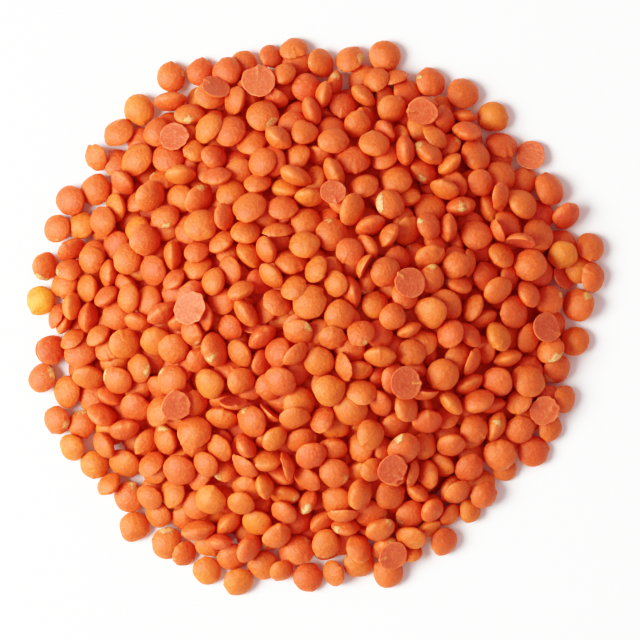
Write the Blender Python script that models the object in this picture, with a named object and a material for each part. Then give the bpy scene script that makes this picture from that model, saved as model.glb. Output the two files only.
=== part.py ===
# Heap of dry red lentils: a low round mound of loose whole and split lentils on a flat base.
# Metres, +Z up. The origin is the middle of the heap's box, on its base.

from collections import namedtuple

import bmesh
import bpy
import numpy as np
from mathutils import Matrix, Vector

MM = 0.001

# the mound
MOUND_RADIUS = 43.15 * MM  # how far from the middle a lentil's edge may reach, on average
MOUND_HEIGHT = 15.5 * MM  # how high the lentils' middles are stacked at the crown
SLOPE_POWER = 1.5  # 1 is a cone, 2 a rounded dome
OUTLINE_WAVES = (  # waves round the outline, how far each swings, its phase in degrees
    (2, 0.80 * MM, -71),
    (3, 0.56 * MM, -33),
    (4, 0.30 * MM, -86),
    (6, 0.40 * MM, -1),
    (8, 0.42 * MM, -138),
    (9, 0.36 * MM, -137),
)
BOX_MIDDLE = Vector((0.6, -0.75, 0)) * MM  # of the heap's box, from the middle of that outline

# one lentil
MEAN_WIDTH = 4.5 * MM
WIDTH_SPREAD = 0.32 * MM
NARROWEST = 3.7 * MM
WIDEST = 5.2 * MM
THICKNESS_SHARE = 0.54  # of the width
SPLIT_SHARE = 0.07  # of all lentils are split halves

# how they settle
SEED = 10
LET_DOWN = 1900  # those that find no room are left out
CELL = 0.15 * MM  # of the height map
MAP_REACH = 49.5 * MM
PLACES_TRIED = 26  # for each lentil, before it is let go
NUDGES_TRIED = 12  # in each round of settling
SETTLING_ROUNDS = 7
LONGEST_NUDGE = 5  # cells
AXIS_SPREAD = 2.0  # of the lean at which lentils are let go
WIDEST_ROCK = 0.3  # how far the axis leans in a nudge, at first
FULL_AT = 1.32 * MM  # the mound is full when no lentil lies lower than this over it
SPLITS_ON_TOP = (  # where halves lie on the heap with their flat faces up, in millimetres
    (3.2, 18.8),
    (16.3, 31.9),
    (-15.1, 34.3),
    (-22.5, 28.1),
    (-9.7, 34.0),
    (-21.9, -9.8),
    (-19.0, -0.5),
    (7.6, 8.3),
    (13.8, 3.3),
    (14.7, -11.7),
    (30.5, 11.7),
    (35.5, -3.6),
    (33.9, -12.8),
    (10.5, -24.1),
    (11.3, -36.7),
)
TOP_SPLIT_SPREAD = 0.25  # of the lean of those

# the fused solid
LENTILS_FUSED = 308
LEAST_SHOWN = 150  # cells of the height map
CORE_DEPTH = 1.35 * MM  # of the core's surface below the mean height of the lentils near it
CORE_INSET = 3.6 * MM  # of the core's outline
CORE_WALL = 0.8 * MM
NEARBY = 3.6 * MM  # half the width over which that mean is taken
CORE_SIDES = 24
CORE_RINGS = 10
LENTIL_SIDES = 6
RIM_SHARE = 0.97  # of a lentil's true half width, to which its corners reach
LEAST_OVERLAP = 0.35 * MM  # of a lentil with the core
LONGEST_SINK = 1.2 * MM  # to reach that overlap
LOWEST_CORNER = 0.05 * MM  # of a lentil over the ground
FLAT_WITHIN = 1.5  # degrees between faces that are merged

Lentil = namedtuple("Lentil", "middle axis width split")


def outline_radius(angle):
    radius = MOUND_RADIUS + np.zeros_like(angle)
    for waves, swing, phase in OUTLINE_WAVES:
        radius += swing * np.cos(waves * angle + np.radians(phase))
    return radius


def mound_height(x, y, inset):
    """Height of the mound's smooth form, falling to 0 at its outline moved in by inset."""
    share = np.hypot(x, y) / (outline_radius(np.arctan2(y, x)) - inset)
    return MOUND_HEIGHT * (1 - share**SLOPE_POWER)


def undersides_and_tops(dx, dy, axes, width, split):
    """Lowest and highest point of a lentil over each offset, for each of several axes."""
    side = (width / 2) ** -2
    flatness = (THICKNESS_SHARE * width / 2) ** -2 - side
    ax, ay, az = (axes[:, i, None, None] for i in range(3))
    along = ax * dx + ay * dy
    a = side + flatness * az**2
    b = flatness * az * along
    c = side * (dx**2 + dy**2) + flatness * along**2 - 1
    inside = b**2 - a * c
    root = np.sqrt(np.maximum(inside, 0))
    low = (-b - root) / a
    high = (-b + root) / a
    if split:
        face = -along / az
        high = np.where(az > 0, np.minimum(high, face), high)
        low = np.where(az > 0, low, np.maximum(low, face))
    return low, high, (inside > 0) & (high > low)


class Bed:
    """The surface that the next lentil falls on: its height over each cell, and whose top that is."""

    def __init__(self):
        cells = round(MAP_REACH / CELL)
        self.ground = np.arange(-cells, cells + 1) * CELL
        self.room = mound_height(*np.meshgrid(self.ground, self.ground, indexing="ij"), MEAN_WIDTH / 2)
        self.heights = np.zeros(self.room.shape)
        self.owners = np.full(self.room.shape, -1)
        self.reach = round(WIDEST / 2 / CELL) + 1
        self.window = np.arange(-self.reach, self.reach + 1)
        self.dx, self.dy = np.meshgrid(self.window * CELL, self.window * CELL, indexing="ij")
        self.lentils = []

    def resting_heights(self, places, axes, width, split):
        low, _, covered = undersides_and_tops(self.dx, self.dy, axes, width, split)
        rows = places[:, 0, None, None] + self.window[:, None]
        columns = places[:, 1, None, None] + self.window[None, :]
        return np.where(covered, self.heights[rows, columns] - low, 0).max(axis=(1, 2))

    def settle(self, random, places, axis, width, split):
        """Let a lentil go where it lies lowest for the mound's form, and rock it until it lies still."""
        axes = np.repeat(axis[None], len(places), axis=0)
        place, lowest = None, np.inf
        for calm in [1, *np.linspace(1, 0, SETTLING_ROUNDS, endpoint=False)]:
            rests = self.resting_heights(places, axes, width, split)
            over = rests - self.room[tuple(places.T)]
            best = int(np.argmin(over))
            if over[best] < lowest:
                place, rest, axis, lowest = places[best], rests[best], axes[best], over[best]
            nudge = max(1, round(LONGEST_NUDGE * calm))
            places = place + random.integers(-nudge, nudge + 1, (NUDGES_TRIED, 2))
            axes = axis + random.normal(0, WIDEST_ROCK * calm, (NUDGES_TRIED, 3))
            axes /= np.linalg.norm(axes, axis=1, keepdims=True)
        return place, rest, axis, lowest

    def lay(self, place, rest, axis, width, split):
        _, high, covered = undersides_and_tops(self.dx, self.dy, axis[None], width, split)
        block = tuple(slice(at - self.reach, at + self.reach + 1) for at in place)
        shows = covered[0] & (rest + high[0] > self.heights[block])
        self.heights[block] = np.where(shows, rest + high[0], self.heights[block])
        self.owners[block] = np.where(shows, len(self.lentils), self.owners[block])
        middle = Vector((self.ground[place[0]], self.ground[place[1]], rest))
        self.lentils.append(Lentil(middle, Vector(axis), width, split))

    def shown(self):
        """How many cells each lentil shows on, seen from above."""
        return np.bincount(self.owners[self.owners >= 0], minlength=len(self.lentils))

    def height_near(self, x, y):
        row, column = round((x + MAP_REACH) / CELL), round((y + MAP_REACH) / CELL)
        near = round(NEARBY / CELL)
        block = self.heights[row - near : row + near + 1, column - near : column + near + 1]
        return float(block.mean())


def random_width(random):
    return float(np.clip(random.normal(MEAN_WIDTH, WIDTH_SPREAD), NARROWEST, WIDEST))


def random_axis(random, spread):
    axis = np.append(random.normal(0, spread, 2), 1)
    return axis / np.linalg.norm(axis)


def settled_bed():
    """Let down all the lentils one by one, and last the halves that lie on top."""
    random = np.random.default_rng(SEED)
    bed = Bed()
    allowed = np.argwhere(bed.room > 0)
    for _ in range(LET_DOWN):
        width = random_width(random)
        split = random.random() < SPLIT_SHARE
        side = -1 if random.random() < 0.5 else 1
        axis = side * random_axis(random, AXIS_SPREAD)
        places = allowed[random.integers(len(allowed), size=PLACES_TRIED)]
        place, rest, axis, lowest = bed.settle(random, places, axis, width, split)
        if lowest < FULL_AT:
            bed.lay(place, rest, axis, width, split)
    for x, y in SPLITS_ON_TOP:
        width = random_width(random)
        axis = random_axis(random, TOP_SPLIT_SPREAD)
        aim = Vector((x, y, 0)) * MM + BOX_MIDDLE
        places = np.array([[round((aim.x + MAP_REACH) / CELL), round((aim.y + MAP_REACH) / CELL)]])
        place, rest, axis, _ = bed.settle(random, places, axis, width, True)
        bed.lay(place, rest, axis, width, True)
    return bed


def new_object(name, bm, collection):
    mesh = bpy.data.meshes.new(name)
    bm.to_mesh(mesh)
    bm.free()
    built = bpy.data.objects.new(name, mesh)
    collection.objects.link(built)
    return built


def add_lentil(lentil, collection):
    """A lentil with few sides, or its lower half with a flat face, turned onto its axis."""
    bm = bmesh.new()
    bmesh.ops.create_uvsphere(bm, u_segments=LENTIL_SIDES, v_segments=3, radius=1)
    ring = max(v.co.xy.length for v in bm.verts)
    for vert in bm.verts:
        vert.co.xy *= RIM_SHARE * lentil.width / 2 / ring
        vert.co.z *= THICKNESS_SHARE * lentil.width / 2
        if lentil.split:
            vert.co.z = min(vert.co.z, 0)
    turn = lentil.axis.to_track_quat("Z", "Y").to_matrix().to_4x4()
    bmesh.ops.transform(bm, matrix=Matrix.Translation(lentil.middle) @ turn, verts=bm.verts)
    for vert in bm.verts:
        vert.co.z = max(vert.co.z, LOWEST_CORNER)
    return new_object("lentil", bm, collection)


def core_height(x, y, bed):
    return max(bed.height_near(x, y) - CORE_DEPTH, CORE_WALL)


def core_radius(angle):
    return float(outline_radius(angle) - CORE_INSET)


def add_core(bed, collection):
    """The packed inside of the heap: a dome with the heap's outline, a low wall and a flat base."""
    bm = bmesh.new()
    bmesh.ops.create_uvsphere(bm, u_segments=CORE_SIDES, v_segments=CORE_RINGS, radius=1)
    equator = 0.5 * np.sin(np.pi / CORE_RINGS)
    bmesh.ops.delete(bm, geom=[v for v in bm.verts if v.co.z < -equator], context="VERTS")
    bmesh.ops.contextual_create(bm, geom=[e for e in bm.edges if e.is_boundary])
    for vert in bm.verts:
        on_base = vert.co.z < equator
        angle = np.arctan2(vert.co.y, vert.co.x)
        share = min(1, vert.co.xy.length / np.cos(np.pi / CORE_RINGS))
        vert.co.x = share * core_radius(angle) * np.cos(angle)
        vert.co.y = share * core_radius(angle) * np.sin(angle)
        vert.co.z = 0 if on_base else core_height(vert.co.x, vert.co.y, bed)
    bmesh.ops.triangulate(bm, faces=bm.faces)
    return new_object("lentil_heap", bm, collection)


def sunk_onto_core(lentil, bed):
    """The lentil lowered until it overlaps the core, or None where that would take it too far."""
    x, y, z = lentil.middle
    low = z - THICKNESS_SHARE * lentil.width / 2
    sink = max(0, low + LEAST_OVERLAP - core_height(x, y, bed))
    farthest = core_radius(np.arctan2(y, x)) + lentil.width / 2 - LEAST_OVERLAP
    if sink > LONGEST_SINK or np.hypot(x, y) > farthest:
        return None
    return lentil._replace(middle=lentil.middle - Vector((0, 0, sink)))


def evenly_spread(bed):
    """The lentils that show and meet the core, each the farthest from all those before it."""
    shown = bed.shown()
    seen = [bed.lentils[n] for n in np.argsort(-shown, kind="stable") if shown[n] > LEAST_SHOWN]
    seen = [lentil for lentil in (sunk_onto_core(lentil, bed) for lentil in seen) if lentil]
    middles = np.array([lentil.middle for lentil in seen])
    gaps = np.full(len(seen), np.inf)
    spread = []
    for _ in range(min(LENTILS_FUSED, len(seen))):
        n = int(np.argmax(gaps))
        spread.append(seen[n])
        gaps = np.minimum(gaps, np.linalg.norm(middles - middles[n], axis=1))
    return spread


def fuse(core, pieces):
    """Join every piece in the collection to the core by one union."""
    union = core.modifiers.new("lentils", "BOOLEAN")
    union.operation = "UNION"
    union.operand_type = "COLLECTION"
    union.collection = pieces
    union.solver = "EXACT"
    depsgraph = bpy.context.evaluated_depsgraph_get()
    joined = bpy.data.meshes.new_from_object(core.evaluated_get(depsgraph))
    core.modifiers.clear()
    core.data = joined
    for piece in list(pieces.objects):
        bpy.data.objects.remove(piece, do_unlink=True)
    bpy.data.collections.remove(pieces)


def keep_outer_shell(heap):
    """Drop what the union leaves apart from the main body: sealed hollows and loose scraps."""
    bm = bmesh.new()
    bm.from_mesh(heap.data)
    left = set(bm.verts)
    shells = []
    while left:
        shell = {left.pop()}
        edge = list(shell)
        while edge:
            near = {e.other_vert(v) for v in edge for e in v.link_edges} - shell
            shell |= near
            edge = list(near)
        left -= shell
        shells.append(shell)
    shells.sort(key=len)
    for shell in shells[:-1]:
        bmesh.ops.delete(bm, geom=list(shell), context="VERTS")
    flat = np.radians(FLAT_WITHIN)
    bmesh.ops.dissolve_limit(bm, angle_limit=flat, verts=bm.verts, edges=bm.edges)
    bmesh.ops.triangulate(bm, faces=bm.faces)
    bm.to_mesh(heap.data)
    bm.free()
    heap.data.update()


def dry_lentil_material():
    material = bpy.data.materials.new("dry red lentil")
    material.use_nodes = True
    shader = material.node_tree.nodes["Principled BSDF"]
    shader.inputs["Base Color"].default_value = (0.72, 0.155, 0.036, 1)
    shader.inputs["Roughness"].default_value = 0.62
    shader.inputs["Metallic"].default_value = 0
    return material


def build():
    for old in list(bpy.data.objects):
        bpy.data.objects.remove(old, do_unlink=True)
    collection = bpy.data.collections.new("heap of dry red lentils")
    pieces = bpy.data.collections.new("lentils to join")
    bpy.context.scene.collection.children.link(collection)
    bpy.context.scene.collection.children.link(pieces)
    bed = settled_bed()
    heap = add_core(bed, collection)
    for lentil in evenly_spread(bed):
        add_lentil(lentil, pieces)
    fuse(heap, pieces)
    keep_outer_shell(heap)
    heap.data.transform(Matrix.Translation(-BOX_MIDDLE))
    heap.data.materials.clear()
    heap.data.materials.append(dry_lentil_material())


build()
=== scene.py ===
from collections import namedtuple
from math import pi

import bpy
import numpy as np
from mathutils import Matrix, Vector


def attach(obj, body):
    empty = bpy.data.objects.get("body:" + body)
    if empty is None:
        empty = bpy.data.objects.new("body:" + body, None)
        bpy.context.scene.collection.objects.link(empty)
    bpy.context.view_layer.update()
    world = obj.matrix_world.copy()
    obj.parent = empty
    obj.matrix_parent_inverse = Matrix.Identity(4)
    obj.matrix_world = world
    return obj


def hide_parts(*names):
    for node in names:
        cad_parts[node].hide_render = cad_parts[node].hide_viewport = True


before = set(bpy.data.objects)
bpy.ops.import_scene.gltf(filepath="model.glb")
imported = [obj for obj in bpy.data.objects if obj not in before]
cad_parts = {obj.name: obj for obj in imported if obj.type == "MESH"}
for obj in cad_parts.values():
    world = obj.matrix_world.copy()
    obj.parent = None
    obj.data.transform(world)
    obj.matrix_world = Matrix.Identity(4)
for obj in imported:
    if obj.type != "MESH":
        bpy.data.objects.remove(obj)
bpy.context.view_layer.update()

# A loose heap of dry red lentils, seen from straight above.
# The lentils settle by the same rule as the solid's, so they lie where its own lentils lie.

mm = 0.001

mound = {
    "radius": 43.15 * mm,  # how far from the middle a lentil's edge may reach, on average
    "height": 15.5 * mm,
    "slopePower": 1.5,  # 1 is a cone, and higher is rounder at the crown
    "waves": (  # waves round the outline, swing, phase in degrees
        (2, 0.80 * mm, -71),
        (3, 0.56 * mm, -33),
        (4, 0.30 * mm, -86),
        (6, 0.40 * mm, -1),
        (8, 0.42 * mm, -138),
        (9, 0.36 * mm, -137),
    ),
    "boxMiddle": Vector((0.6, -0.75, 0)) * mm,  # of the heap's box, from the middle of that outline
}
lentil = {
    "meanWidth": 4.5 * mm,
    "widthSpread": 0.32 * mm,
    "narrowest": 3.7 * mm,
    "widest": 5.2 * mm,
    "thickness": 0.54,  # of the width
    "splitShare": 0.07,
}
pour = {
    "seed": 10,
    "letDown": 1900,  # lentils tried, of which those that fit under the mound stay
    "cell": 0.15 * mm,  # of the height map
    "reach": 49.5 * mm,
    "placesTried": 26,
    "nudgesTried": 12,
    "rounds": 7,
    "longestNudge": 5,  # in cells
    "axisSpread": 2.0,  # 0 lies flat, and higher leans and stands more
    "widestRock": 0.3,
    "fullAt": 1.32 * mm,  # how far over the mound a lentil may come to rest
    "splitsOnTop": (  # where halves lie with their flat faces up, in mm from the middle
        (3.2, 18.8),
        (16.3, 31.9),
        (-15.1, 34.3),
        (-22.5, 28.1),
        (-9.7, 34.0),
        (-21.9, -9.8),
        (-19.0, -0.5),
        (7.6, 8.3),
        (13.8, 3.3),
        (14.7, -11.7),
        (30.5, 11.7),
        (35.5, -3.6),
        (33.9, -12.8),
        (10.5, -24.1),
        (11.3, -36.7),
    ),
    "topSplitSpread": 0.25,
}

Laid = namedtuple("Laid", "middle axis width split")


def outlineRadius(angle):
    radius = mound["radius"] + np.zeros_like(angle)
    for waves, swing, phase in mound["waves"]:
        radius += swing * np.cos(waves * angle + np.radians(phase))
    return radius


def moundHeight(x, y, inset):
    share = np.hypot(x, y) / (outlineRadius(np.arctan2(y, x)) - inset)
    return mound["height"] * (1 - share ** mound["slopePower"])


def undersidesAndTops(dx, dy, axes, width, split):
    side = (width / 2) ** -2
    flatness = (lentil["thickness"] * width / 2) ** -2 - side
    ax, ay, az = (axes[:, i, None, None] for i in range(3))
    along = ax * dx + ay * dy
    a = side + flatness * az**2
    b = flatness * az * along
    c = side * (dx**2 + dy**2) + flatness * along**2 - 1
    inside = b**2 - a * c
    root = np.sqrt(np.maximum(inside, 0))
    low = (-b - root) / a
    high = (-b + root) / a
    if split:
        face = -along / az
        high = np.where(az > 0, np.minimum(high, face), high)
        low = np.where(az > 0, low, np.maximum(low, face))
    return low, high, (inside > 0) & (high > low)


class Bed:  # the surface that the next lentil falls on
    def __init__(self):
        cells = round(pour["reach"] / pour["cell"])
        self.ground = np.arange(-cells, cells + 1) * pour["cell"]
        across = np.meshgrid(self.ground, self.ground, indexing="ij")
        self.room = moundHeight(*across, lentil["meanWidth"] / 2)
        self.heights = np.zeros(self.room.shape)
        self.owners = np.full(self.room.shape, -1)
        self.reach = round(lentil["widest"] / 2 / pour["cell"]) + 1
        self.window = np.arange(-self.reach, self.reach + 1)
        offsets = self.window * pour["cell"]
        self.dx, self.dy = np.meshgrid(offsets, offsets, indexing="ij")
        self.laid = []

    def restingHeights(self, places, axes, width, split):
        low, _, covered = undersidesAndTops(self.dx, self.dy, axes, width, split)
        rows = places[:, 0, None, None] + self.window[:, None]
        columns = places[:, 1, None, None] + self.window[None, :]
        return np.where(covered, self.heights[rows, columns] - low, 0).max(axis=(1, 2))

    def settle(self, random, places, axis, width, split):
        axes = np.repeat(axis[None], len(places), axis=0)
        place, lowest = None, np.inf
        for calm in [1, *np.linspace(1, 0, pour["rounds"], endpoint=False)]:
            rests = self.restingHeights(places, axes, width, split)
            over = rests - self.room[tuple(places.T)]
            best = int(np.argmin(over))
            if over[best] < lowest:
                place, rest, axis, lowest = places[best], rests[best], axes[best], over[best]
            nudge = max(1, round(pour["longestNudge"] * calm))
            places = place + random.integers(-nudge, nudge + 1, (pour["nudgesTried"], 2))
            axes = axis + random.normal(0, pour["widestRock"] * calm, (pour["nudgesTried"], 3))
            axes /= np.linalg.norm(axes, axis=1, keepdims=True)
        return place, rest, axis, lowest

    def lay(self, place, rest, axis, width, split):
        _, high, covered = undersidesAndTops(self.dx, self.dy, axis[None], width, split)
        block = tuple(slice(at - self.reach, at + self.reach + 1) for at in place)
        shows = covered[0] & (rest + high[0] > self.heights[block])
        self.heights[block] = np.where(shows, rest + high[0], self.heights[block])
        self.owners[block] = np.where(shows, len(self.laid), self.owners[block])
        middle = np.array([self.ground[place[0]], self.ground[place[1]], rest])
        self.laid.append(Laid(middle, axis, width, split))

    def shown(self):
        return np.bincount(self.owners[self.owners >= 0], minlength=len(self.laid))

    def cellAt(self, x, y):
        return [round((v + pour["reach"]) / pour["cell"]) for v in (x, y)]

    def heightNear(self, x, y, near):
        row, column = self.cellAt(x, y)
        cells = round(near / pour["cell"])
        around = self.heights[row - cells:row + cells + 1, column - cells:column + cells + 1]
        return float(around.mean())


def randomWidth(random):
    width = random.normal(lentil["meanWidth"], lentil["widthSpread"])
    return float(np.clip(width, lentil["narrowest"], lentil["widest"]))


def randomAxis(random, spread):
    axis = np.append(random.normal(0, spread, 2), 1)
    return axis / np.linalg.norm(axis)


def settledBed():
    random = np.random.default_rng(pour["seed"])
    bed = Bed()
    allowed = np.argwhere(bed.room > 0)
    for _ in range(pour["letDown"]):
        width = randomWidth(random)
        split = random.random() < lentil["splitShare"]
        side = -1 if random.random() < 0.5 else 1
        axis = side * randomAxis(random, pour["axisSpread"])
        places = allowed[random.integers(len(allowed), size=pour["placesTried"])]
        place, rest, axis, lowest = bed.settle(random, places, axis, width, split)
        if lowest < pour["fullAt"]:
            bed.lay(place, rest, axis, width, split)
    for x, y in pour["splitsOnTop"]:
        width = randomWidth(random)
        axis = randomAxis(random, pour["topSplitSpread"])
        aim = Vector((x, y, 0)) * mm + mound["boxMiddle"]
        places = np.array([bed.cellAt(aim.x, aim.y)])
        place, rest, axis, _ = bed.settle(random, places, axis, width, True)
        bed.lay(place, rest, axis, width, True)
    return bed


# shader node groups

def newGroup(name, inputs, outputs):
    group = bpy.data.node_groups.new(name, "ShaderNodeTree")
    for kind, label, value in inputs:
        socket = group.interface.new_socket(label, in_out="INPUT", socket_type=f"NodeSocket{kind}")
        if value is not None:
            socket.default_value = value
    for kind, label in outputs:
        group.interface.new_socket(label, in_out="OUTPUT", socket_type=f"NodeSocket{kind}")
    return group, group.nodes.new("NodeGroupInput"), group.nodes.new("NodeGroupOutput")


def addNode(tree, kind, values=None, **settings):
    node = tree.nodes.new(kind)
    for name, value in settings.items():
        setattr(node, name, value)
    for socket, value in (values or {}).items():
        if isinstance(value, bpy.types.NodeSocket):
            tree.links.new(value, node.inputs[socket])
        else:
            node.inputs[socket].default_value = value
    return node


def mixColors(tree, factor, a, b):
    return addNode(tree, "ShaderNodeMix", {0: factor, 6: a, 7: b}, data_type="RGBA").outputs[2]


def add(tree, a, b):
    return addNode(tree, "ShaderNodeMath", {0: a, 1: b}, operation="ADD").outputs[0]


def multiply(tree, a, b):
    return addNode(tree, "ShaderNodeMath", {0: a, 1: b}, operation="MULTIPLY").outputs[0]


def ramp(tree, value, edges):
    values = {"Value": value, "From Min": edges[0], "From Max": edges[1]}
    return addNode(tree, "ShaderNodeMapRange", values, interpolation_type="SMOOTHSTEP").outputs[0]


def noise(tree, place, look):
    values = {"Vector": place, "Scale": look[0], "Detail": look[1], "Roughness": look[2]}
    return addNode(tree, "ShaderNodeTexNoise", values).outputs["Fac"]


skinGrain = {  # noise: scale, detail and roughness
    "broad": (480, 2, 0.5),
    "broadEdges": (0.40, 0.70),
    "fine": (2300, 4, 0.65),
    "pitEdges": (0.50, 0.30),
    # pale specks on the raised points of the fine bump: partly real dust, partly painted glints
    "dustAndGlintEdges": (0.48, 0.72),
    "worn": (700, 3, 0.5),
    "wornEdges": (0.30, 0.65),
    "wornPower": 10,  # higher keeps the wear closer to the rim
    "wornShare": 0.5,
    "smoothest": 0.38,
    "roughening": 0.3,
    "fineHeight": 0.7,
    "broadHeight": 0.8,
}


def makeSeedSkin():
    group, given, out = newGroup(
        "seedSkin",
        [
            ("Vector", "Place", None),
            ("Color", "Red", (1, 0, 0, 1)),
            ("Color", "Gold", (1, 1, 0, 1)),
            ("Color", "Deep", (0.3, 0, 0, 1)),
            ("Color", "Pale", (1, 0.6, 0.3, 1)),
            ("Float", "Tone", 0.5),
            ("Float", "Rim", 0.0),
            ("Float", "Mottle", 0.5),
            ("Float", "DustAndGlint", 0.3),
        ],
        [("Color", "Color"), ("Float", "Roughness"), ("Float", "Height")],
    )
    place, mottle = given.outputs["Place"], given.outputs["Mottle"]
    deep, pale = given.outputs["Deep"], given.outputs["Pale"]
    broad = noise(group, place, skinGrain["broad"])
    fine = noise(group, place, skinGrain["fine"])
    patches = multiply(group, ramp(group, broad, skinGrain["broadEdges"]), mottle)
    pits = multiply(group, ramp(group, fine, skinGrain["pitEdges"]), mottle)
    # paler where the fine bump is highest: real pale dust together with painted glints
    dustAndGlints = multiply(group, ramp(group, fine, skinGrain["dustAndGlintEdges"]), given.outputs["DustAndGlint"])
    values = {0: given.outputs["Rim"], 1: skinGrain["wornPower"]}
    nearRim = addNode(group, "ShaderNodeMath", values, operation="POWER").outputs[0]
    scuffs = ramp(group, noise(group, place, skinGrain["worn"]), skinGrain["wornEdges"])
    worn = multiply(group, multiply(group, nearRim, scuffs), skinGrain["wornShare"])
    color = mixColors(group, given.outputs["Tone"], given.outputs["Red"], given.outputs["Gold"])
    for share, other in ((patches, deep), (pits, deep), (dustAndGlints, pale), (worn, pale)):
        color = mixColors(group, share, color, other)
    roughness = add(group, skinGrain["smoothest"], multiply(group, fine, skinGrain["roughening"]))
    fineHeight = multiply(group, fine, skinGrain["fineHeight"])
    height = add(group, fineHeight, multiply(group, broad, skinGrain["broadHeight"]))
    group.links.new(color, out.inputs["Color"])
    group.links.new(roughness, out.inputs["Roughness"])
    group.links.new(height, out.inputs["Height"])
    return group


chipGrain = {  # noise: scale, detail and roughness
    "ragged": (1700, 4, 0.7),
    "raggedness": 1.6,
    "edges": (0.38, 0.76),
    "fleck": (2600, 3, 0.5),
    "fleckEdges": (0.44, 0.62),
    "fleckShare": 0.7,
    "height": 0.8,
}


def makeHuskChip():
    group, given, out = newGroup(
        "huskChip",
        [
            ("Vector", "Place", None),
            ("Color", "Color", (1, 1, 1, 1)),
            ("Color", "Husk", (0.9, 0.7, 0.4, 1)),
            ("Color", "Fleck", (0.4, 0.35, 0.3, 1)),
            ("Float", "Chip", 0.0),
        ],
        [("Color", "Color"), ("Float", "Mask")],
    )
    place = given.outputs["Place"]
    ragged = add(group, noise(group, place, chipGrain["ragged"]), -0.5)
    ragged = multiply(group, ragged, chipGrain["raggedness"])
    mask = ramp(group, add(group, given.outputs["Chip"], ragged), chipGrain["edges"])
    fleck = ramp(group, noise(group, place, chipGrain["fleck"]), chipGrain["fleckEdges"])
    fleck = multiply(group, fleck, chipGrain["fleckShare"])
    husk = mixColors(group, fleck, given.outputs["Husk"], given.outputs["Fleck"])
    group.links.new(mixColors(group, mask, given.outputs["Color"], husk), out.inputs["Color"])
    group.links.new(mask, out.inputs["Mask"])
    return group


seedSkin = makeSeedSkin()
huskChip = makeHuskChip()


def newMaterial(name, settings):
    material = bpy.data.materials.new(name)
    material.use_nodes = True
    tree = material.node_tree
    shader = tree.nodes["Principled BSDF"]
    for socket, value in settings.items():
        shader.inputs[socket].default_value = value
    return material, tree, shader


def attribute(tree, name):
    node = addNode(tree, "ShaderNodeAttribute", attribute_name=name, attribute_type="GEOMETRY")
    return node.outputs["Fac"]


softSeed = {
    "Subsurface Weight": 0.5,
    "Subsurface Radius": (1.0, 0.20, 0.06),
    "Subsurface Scale": 1.4 * mm,
    "Specular IOR Level": 0.66,
}
bumpDepth = 0.25 * mm


def lentilMaterial(name, look, chips):
    material, tree, shader = newMaterial(name, softSeed)
    place = addNode(tree, "ShaderNodeTexCoord").outputs["Object"]
    skin = addNode(tree, "ShaderNodeGroup", node_tree=seedSkin)
    tree.links.new(place, skin.inputs["Place"])
    tree.links.new(attribute(tree, "tone"), skin.inputs["Tone"])
    tree.links.new(attribute(tree, "rim"), skin.inputs["Rim"])
    for socket in ("Red", "Gold", "Deep", "Pale", "Mottle", "DustAndGlint"):
        skin.inputs[socket].default_value = look[socket]
    color, height = skin.outputs["Color"], skin.outputs["Height"]
    if chips:
        chip = addNode(tree, "ShaderNodeGroup", node_tree=huskChip)
        tree.links.new(place, chip.inputs["Place"])
        tree.links.new(color, chip.inputs["Color"])
        tree.links.new(attribute(tree, "chip"), chip.inputs["Chip"])
        chip.inputs["Husk"].default_value = look["Husk"]
        chip.inputs["Fleck"].default_value = look["Fleck"]
        color = chip.outputs["Color"]
        height = add(tree, height, multiply(tree, chip.outputs["Mask"], chipGrain["height"]))
    tree.links.new(color, shader.inputs["Base Color"])
    tree.links.new(skin.outputs["Roughness"], shader.inputs["Roughness"])
    values = {"Strength": look["bump"], "Distance": bumpDepth, "Height": height}
    bump = addNode(tree, "ShaderNodeBump", values)
    tree.links.new(bump.outputs[0], shader.inputs["Normal"])
    return material


plainLook = {  # colours are linear
    "Red": (0.65, 0.115, 0.028, 1),
    "Gold": (0.69, 0.156, 0.031, 1),
    "Deep": (0.47, 0.075, 0.020, 1),
    "Pale": (0.95, 0.28, 0.095, 1),
    "Husk": (0.80, 0.42, 0.17, 1),
    "Fleck": (0.40, 0.25, 0.15, 1),
    "Mottle": 0.4,
    # pale specks: partly real dust, partly painted glints
    "DustAndGlint": 0.30,
    "bump": 0.92,
}
looks = {
    "orange": plainLook,
    "amber": {**plainLook, "Red": (0.67, 0.131, 0.028, 1), "Gold": (0.72, 0.188, 0.030, 1)},
    "deep": {**plainLook, "Red": (0.62, 0.092, 0.024, 1), "Gold": (0.65, 0.121, 0.029, 1)},
    "golden": {**plainLook, "Red": (0.69, 0.17, 0.030, 1), "Gold": (0.82, 0.36, 0.032, 1)},
    "chipped": plainLook,
    "cut": {
        "Red": (0.57, 0.100, 0.045, 1),
        "Gold": (0.61, 0.133, 0.053, 1),
        "Deep": (0.49, 0.076, 0.033, 1),
        "Pale": (0.86, 0.29, 0.135, 1),
        "Husk": (0.78, 0.26, 0.085, 1),
        "Fleck": (0.70, 0.19, 0.06, 1),
        "Mottle": 0.45,
        # pale specks: partly real dust, partly painted glints
        "DustAndGlint": 0.45,
        "bump": 0.8,
    },
}
withChips = ("chipped", "cut")


# the lentils' own shape

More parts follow.
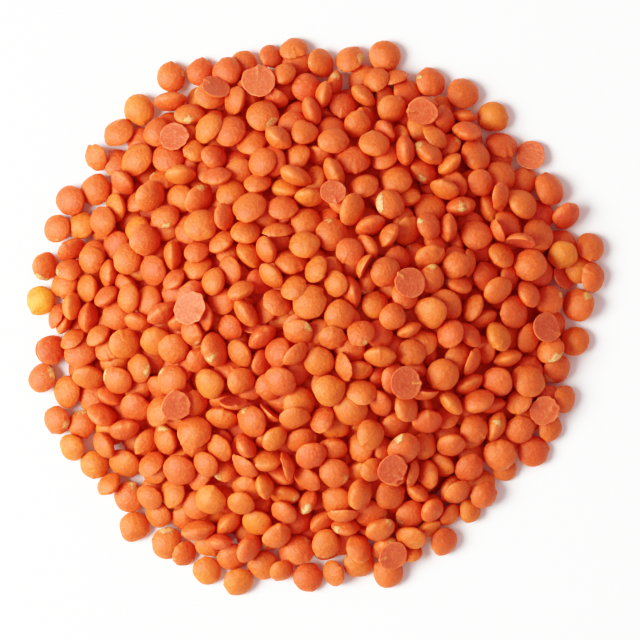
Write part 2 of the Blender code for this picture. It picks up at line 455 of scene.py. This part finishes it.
shape = {
    "sides": 32,
    "rings": 8,  # from the middle of a face to the rim
    "hiddenSides": 16,
    "hiddenRings": 5,
    "splitSides": 44,
    "splitRings": 11,
    "hardlyShown": 25,  # cells of the height map that a lentil with the hidden grid may show
    "crowding": 0.55,  # of the sides toward the beak
    "keenness": (0.54, 0.70),  # 0.5 is an ellipse seen edge-on, 1 a blade
    "plump": (1.02, 1.2),
    "outlineWaves": (  # waves round the rim, and their usual swing
        (2, 0.0192),
        (3, 0.0144),
        (4, 0.0114),
        (5, 0.009),
        (7, 0.006),
    ),
    "splitWaves": (  # added round a half's broken edge
        (8, 0.0144),
        (11, 0.0126),
        (15, 0.0102),
    ),
    "ownShare": (0.2, 1),  # how much of a beak and a notch each lentil has
    "beak": 0.08,
    "beakWidth": 0.12,
    "notch": 0.05,
    "notchAt": 0.30,  # round from the beak
    "notchWidth": 0.16,
    "bumpWays": 3,  # directions in which each size of dent and wrinkle runs
    "dents": (  # how close together, how high
        (2.2, 0.018),
        (3.4, 0.015),
        (5.5, 0.010),
    ),
    "wrinkles": (
        (9.0, 0.007),
        (13.0, 0.006),
    ),
    "wrinkledShare": 0.22,
    "lip": 0.02,  # round the flat face of a half
    "lipAt": 0.94,
    "lipWidth": 0.05,
    "hollowWidth": 0.5,
    "tongue": 0.05,  # the sprout that lies on that face
    "tongueWidth": 0.16,
    "tongueFrom": 0.38,
    "tongueFade": 0.05,
    "sharpAngle": 1.3,
}


def lensGrid(sides, rings):  # angle and distance from the middle at each point, and the faces
    turns = np.arange(sides) / sides * 2 * pi
    turns -= shape["crowding"] * np.sin(turns)
    steps = np.sin(np.arange(1, rings + 1) / rings * pi / 2)
    shares = np.concatenate([steps, steps[-2::-1]])
    up = np.concatenate([np.ones(rings), -np.ones(rings - 1)])
    angle = np.concatenate([[0], np.tile(turns, len(shares)), [0]])
    share = np.concatenate([[0], np.repeat(shares, sides), [0]])
    side = np.concatenate([[1], np.repeat(up, sides), [-1]])
    faces = []
    last = len(angle) - 1
    for i in range(sides):
        after = (i + 1) % sides
        faces.append((0, 1 + i, 1 + after))
        for ring in range(len(shares) - 1):
            a, b = 1 + ring * sides, 1 + (ring + 1) * sides
            faces.append((a + i, b + i, b + after, a + after))
        end = 1 + (len(shares) - 1) * sides
        faces.append((end + i, last, end + after))
    return angle, share, side, faces


def waved(points, bumps, random):
    swing = np.zeros(len(points))
    for waves, height in bumps:
        for _ in range(shape["bumpWays"]):
            way = random.normal(0, 1, 3)
            way *= waves / np.linalg.norm(way)
            swing += height * np.sin(points @ way + random.uniform(0, 2 * pi))
    return swing


def turnedTo(axis, spin):  # matrix whose third column is the axis
    side = np.cross(axis, (0.36, 0.48, 0.80))  # any direction but the axis
    side /= np.linalg.norm(side)
    front = np.cross(axis, side)
    first = np.cos(spin) * side + np.sin(spin) * front
    second = np.cross(axis, first)
    return np.stack([first, second, axis], axis=1)


def hill(distance, width):
    return np.exp(-(distance / width) ** 2)


def tongueShare(angle, share):  # 1 along the sprout on a half's flat face
    along, across = share * np.cos(angle), share * np.sin(angle)
    steep = (along - shape["tongueFrom"]) / shape["tongueFade"]
    return hill(across, shape["tongueWidth"]) / (1 + np.exp(-steep))


def turnFrom(angle, start):  # from -pi to pi
    return (angle - start + pi) % (2 * pi) - pi


def shapedLentil(one, grid, random):
    angle, share, side, _ = grid
    reach = np.ones(len(angle))
    for waves, swing in shape["outlineWaves"] + (shape["splitWaves"] if one.split else ()):
        reach += random.normal(0, swing) * np.cos(waves * angle + random.uniform(0, 2 * pi))
    turn = turnFrom(angle, 0)
    beak = hill(turn, shape["beakWidth"])
    notch = hill(turn - shape["notchAt"], shape["notchWidth"])
    reach += shape["beak"] * random.uniform(*shape["ownShare"]) * beak
    reach -= shape["notch"] * random.uniform(*shape["ownShare"]) * notch
    keen = random.uniform(*shape["keenness"])
    rise = (1 - share**2) ** keen * lentil["thickness"] * random.uniform(*shape["plump"])
    if one.split:
        edge = hill(share - shape["lipAt"], shape["lipWidth"])
        face = shape["lip"] * (edge - hill(share, shape["hollowWidth"]))
        face += shape["tongue"] * tongueShare(angle, share)
        rise = np.where(side > 0, face * (share < 1), rise)
    out = share * reach
    points = np.stack([out * np.cos(angle), out * np.sin(angle), side * rise], axis=1)
    bumps = shape["dents"]
    if random.random() < shape["wrinkledShare"]:
        bumps = bumps + shape["wrinkles"]
    points *= 1 + waved(points, bumps, random)[:, None]
    turned = turnedTo(one.axis, random.uniform(0, 2 * pi))
    world = points * one.width / 2 @ turned.T + one.middle - mound["boxMiddle"]
    world[:, 2] = np.maximum(world[:, 2], 0)
    return world


def meshObject(name, points, faces, values, materials, slots=None):
    mesh = bpy.data.meshes.new(name)
    mesh.from_pydata(points.tolist(), [], faces)
    for label, value in values.items():
        mesh.attributes.new(label, "FLOAT", "POINT").data.foreach_set("value", value.astype(np.float32))
    for material in materials:
        mesh.materials.append(material)
    if slots is not None:
        mesh.polygons.foreach_set("material_index", slots)
    mesh.shade_smooth()
    mesh.set_sharp_from_angle(angle=shape["sharpAngle"])
    mesh.update()
    made = bpy.data.objects.new(name, mesh)
    bpy.context.scene.collection.objects.link(made)
    return made


marks = {
    "toneSpread": 0.28,  # 0 gives every lentil the colour midway between Red and Gold
    "chipTurn": (0.25, 0.7),  # how far a chip of husk reaches round the rim
    "chipFrom": 0.50,  # of the way from the middle of a face to the rim
    "chipFade": 0.40,
    "chipStrength": (0.85, 1.45),
    "chipOnAccents": 0.4,  # added to an accent's chip
    "chipOnOtherFace": 0.8,
    "tongueStrength": (0.25, 0.9),
}


def chipOn(angle, share, side, extra, random):
    turn = turnFrom(angle, random.uniform(0, 2 * pi))
    chip = hill(turn, random.uniform(*marks["chipTurn"]))
    chip *= np.clip((share - marks["chipFrom"]) / marks["chipFade"], 0, 1)
    chip *= random.uniform(*marks["chipStrength"]) + extra
    return chip * np.where(side * random.choice((-1, 1)) > 0, 1, marks["chipOnOtherFace"])


def sproutOn(angle, share, side, random):
    return np.where(side > 0, tongueShare(angle, share) * random.uniform(*marks["tongueStrength"]), 0)


def lentilPiece(name, members, shown, marked, materials, random):
    wholeGrid = lensGrid(shape["sides"], shape["rings"])
    splitGrid = lensGrid(shape["splitSides"], shape["splitRings"])
    hiddenGrid = lensGrid(shape["hiddenSides"], shape["hiddenRings"])
    points, faces, slots = [], [], []
    values = {"tone": [], "rim": [], "chip": []}
    first = 0
    for number, one in members:
        grid = splitGrid if one.split else wholeGrid
        if shown[number] <= shape["hardlyShown"]:
            grid = hiddenGrid
        angle, share, side, lensFaces = grid
        points.append(shapedLentil(one, grid, random))
        faces += [tuple(first + i for i in face) for face in lensFaces]
        flat = [bool(one.split and all(side[i] > 0 for i in face)) for face in lensFaces]
        slots += [int(isFlat) * (len(materials) - 1) for isFlat in flat]
        first += len(angle)
        tone = np.clip(random.normal(0.5, marks["toneSpread"]), 0, 1)
        values["tone"].append(np.full(len(angle), marked.get(number, tone)))
        values["rim"].append(share)
        if one.split:
            values["chip"].append(sproutOn(angle, share, side, random))
        else:
            extra = marks["chipOnAccents"] if number in marked else 0
            values["chip"].append(chipOn(angle, share, side, extra, random))
    values = {label: np.concatenate(value) for label, value in values.items()}
    made = meshObject(name, np.concatenate(points), faces, values, materials, slots)
    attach(made, "root")
    print(name, len(members), "lentils,", sum(len(face) - 2 for face in faces), "triangles")
    return made


# the dark inside, which shows only at the bottom of deep gaps

packed = {
    "inset": 9.5 * mm,
    "depth": 3.0 * mm,  # below the lentils' mean height
    "near": 2.4 * mm,
    "lowest": 0.4 * mm,
    "sides": 120,
    "rings": 34,
    "bump": 0.35 * mm,
    "base": 0.1 * mm,
    "cover": 0.6 * mm,  # over a lentil that is left out
    "seed": 3,
}


def insideHeight(bed, x, y):
    return max(bed.heightNear(x, y, packed["near"]) - packed["depth"], packed["lowest"])


def addInside(bed, material):
    sides, rings = packed["sides"], packed["rings"]
    points = [(0, 0, insideHeight(bed, 0, 0))]
    faces = []
    random = np.random.default_rng(packed["seed"])
    for ring in range(1, rings + 1):
        for i in range(sides):
            angle = i / sides * 2 * pi
            reach = ring / rings * float(outlineRadius(np.float64(angle)) - packed["inset"])
            x, y = reach * np.cos(angle), reach * np.sin(angle)
            z = insideHeight(bed, x, y) + random.uniform(-1, 1) * packed["bump"]
            points.append((x, y, z if ring < rings else packed["base"]))
    points.append((0, 0, packed["base"]))
    last = len(points) - 1
    edge = 1 + (rings - 1) * sides
    for i in range(sides):
        after = (i + 1) % sides
        faces.append((0, 1 + i, 1 + after))
        for ring in range(rings - 1):
            a, b = 1 + ring * sides, 1 + (ring + 1) * sides
            faces.append((a + i, b + i, b + after, a + after))
        faces.append((last, edge + after, edge + i))
    points = np.array(points) - np.array(mound["boxMiddle"])
    plain = {"tone": np.zeros(len(points)), "rim": np.zeros(len(points))}
    made = meshObject("packedInside", points, faces, plain, [material])
    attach(made, "root")
    print("packedInside", len(faces), "faces")
    return made


def isInside(one, bed):
    x, y, z = one.middle
    edge = float(outlineRadius(np.arctan2(y, x)) - packed["inset"]) - lentil["meanWidth"] / 2
    return np.hypot(x, y) < edge and z < insideHeight(bed, x, y) - packed["cover"]


bed = settledBed()
shown = bed.shown()
seen = int((shown > shape["hardlyShown"]).sum())
print("settled", len(bed.laid), "lentils,", seen, "show from above")

mix = {
    "seed": 7,
    "shares": {  # golden ones are accents alone
        "orange": 0.23,
        "amber": 0.23,
        "deep": 0.26,
        "golden": 0,
        "chipped": 0.28,
    },
    "accents": (  # the most striking ones: kind, place in mm from the middle, tone
        ("golden", (-40.9, 1.5), 0.75),
        ("golden", (35.0, 10.1), 0.25),
        ("golden", (27.2, 29.6), 0.1),
        ("chipped", (-5.7, 32.1), 0.6),
        ("chipped", (11.7, 17.9), 0.6),
    ),
    "shownEnough": 300,  # cells of the height map that an accent shows at least
}


def nearestShown(x, y):
    aim = np.array((x, y)) * mm + np.array(mound["boxMiddle"])[:2]
    fit = [n for n, one in enumerate(bed.laid) if shown[n] > mix["shownEnough"] and not one.split]
    return min(fit, key=lambda n: float(np.hypot(*(bed.laid[n].middle[:2] - aim))))


random = np.random.default_rng(mix["seed"])
drawn = random.choice(list(mix["shares"]), size=len(bed.laid), p=list(mix["shares"].values()))
marked = {}
for kind, place, tone in mix["accents"]:
    number = nearestShown(*place)
    drawn[number] = kind
    marked[number] = tone
members = {kind: [] for kind in [*mix["shares"], "split"]}
for number, one in enumerate(bed.laid):
    if shown[number] or not isInside(one, bed):
        members["split" if one.split else drawn[number]].append((number, one))

materials = {}
for kind, look in looks.items():
    materials[kind] = lentilMaterial(kind + "Lentil", look, kind in withChips)
pieces = []
for kind, ones in members.items():
    skins = [materials["orange"], materials["cut"]] if kind == "split" else [materials[kind]]
    pieces.append(lentilPiece(kind + "Lentils", ones, shown, marked, skins, random))
pieces.append(addInside(bed, materials["deep"]))
for piece in pieces:
    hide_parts("lentil_heap")

# floor, light and camera

studio = {
    "floor": (0.93, 0.96, 0.97, 1),
    "floorRoughness": 0.7,
    "floorReach": 2,
    "world": 0.45,
    "worldTint": (1.0, 0.95, 0.97, 1),
    "keyAt": (-0.488, -0.040, 0.46),
    "keySize": 0.45,
    "keyPower": 7.28,
    "keyTint": (1.0, 0.98, 0.93),
    "viewWidth": 94.4 * mm,  # at the height that the view is framed at
    "framedAt": 6 * mm,
    "cameraHeight": 0.62,  # over that
    "sensor": 36,
    "heapInView": (-0.66 * mm, 0.22 * mm),  # of the heap's middle from the middle of the view
}

floorMesh = bpy.data.meshes.new("floor")
far = studio["floorReach"]
corners = [(-far, -far, 0), (far, -far, 0), (far, far, 0), (-far, far, 0)]
floorMesh.from_pydata(corners, [], [(0, 1, 2, 3)])
floor = bpy.data.objects.new("floor", floorMesh)
bpy.context.scene.collection.objects.link(floor)
floorLook = {"Base Color": studio["floor"], "Roughness": studio["floorRoughness"]}
floorMesh.materials.append(newMaterial("paleFloor", floorLook)[0])

world = bpy.data.worlds.new("studio")
world.use_nodes = True
background = world.node_tree.nodes["Background"]
background.inputs["Color"].default_value = studio["worldTint"]
background.inputs["Strength"].default_value = studio["world"]
bpy.context.scene.world = world

keyData = bpy.data.lights.new("key", "AREA")
keyData.shape = "DISK"
keyData.size = studio["keySize"]
keyData.energy = studio["keyPower"]
keyData.color = studio["keyTint"]
key = bpy.data.objects.new("key", keyData)
key.location = studio["keyAt"]
key.rotation_euler = (-Vector(studio["keyAt"])).to_track_quat("-Z", "Y").to_euler()
bpy.context.scene.collection.objects.link(key)

cameraData = bpy.data.cameras.new("camera")
cameraData.sensor_width = studio["sensor"]
cameraData.lens = studio["sensor"] * studio["cameraHeight"] / studio["viewWidth"]
camera = bpy.data.objects.new("camera", cameraData)
acrossView, upView = studio["heapInView"]
camera.location = (-acrossView, -upView, studio["cameraHeight"] + studio["framedAt"])
bpy.context.scene.collection.objects.link(camera)
bpy.context.scene.camera = camera

film = {  # light in, tone out: deep shadows fall away but keep some red
    "brightest": 1.6,
    "red": (
        (0.010, 0.011),
        (0.035, 0.063),
        (0.080, 0.180),
        (0.125, 0.262),
        (0.200, 0.362),
        (0.350, 0.500),
        (0.450, 0.582),
        (0.550, 0.660),
        (0.750, 0.800),
        (0.900, 0.885),
        (1.100, 0.956),
        (1.350, 0.988),
    ),
    "green": (
        (0.010, 0.0033),
        (0.035, 0.015),
        (0.080, 0.060),
        (0.125, 0.114),
        (0.200, 0.215),
        (0.350, 0.400),
        (0.450, 0.515),
        (0.550, 0.625),
        (0.750, 0.785),
        (0.900, 0.880),
        (1.100, 0.955),
        (1.350, 0.988),
    ),
    "blue": (
        (0.010, 0.0036),
        (0.035, 0.0168),
        (0.060, 0.0335),
        (0.085, 0.054),
        (0.125, 0.096),
        (0.200, 0.200),
        (0.350, 0.395),
        (0.450, 0.515),
        (0.550, 0.625),
        (0.750, 0.785),
        (0.900, 0.880),
        (1.100, 0.955),
        (1.350, 0.988),
    ),
}
view = bpy.context.scene.view_settings
view.view_transform = "Standard"
view.use_curve_mapping = True
view.curve_mapping.white_level = [film["brightest"]] * 3
for channel, name in enumerate(("red", "green", "blue")):
    for light, tone in film[name]:
        view.curve_mapping.curves[channel].points.new(light / film["brightest"], tone)
view.curve_mapping.update()
print("floor, light, camera and film set")
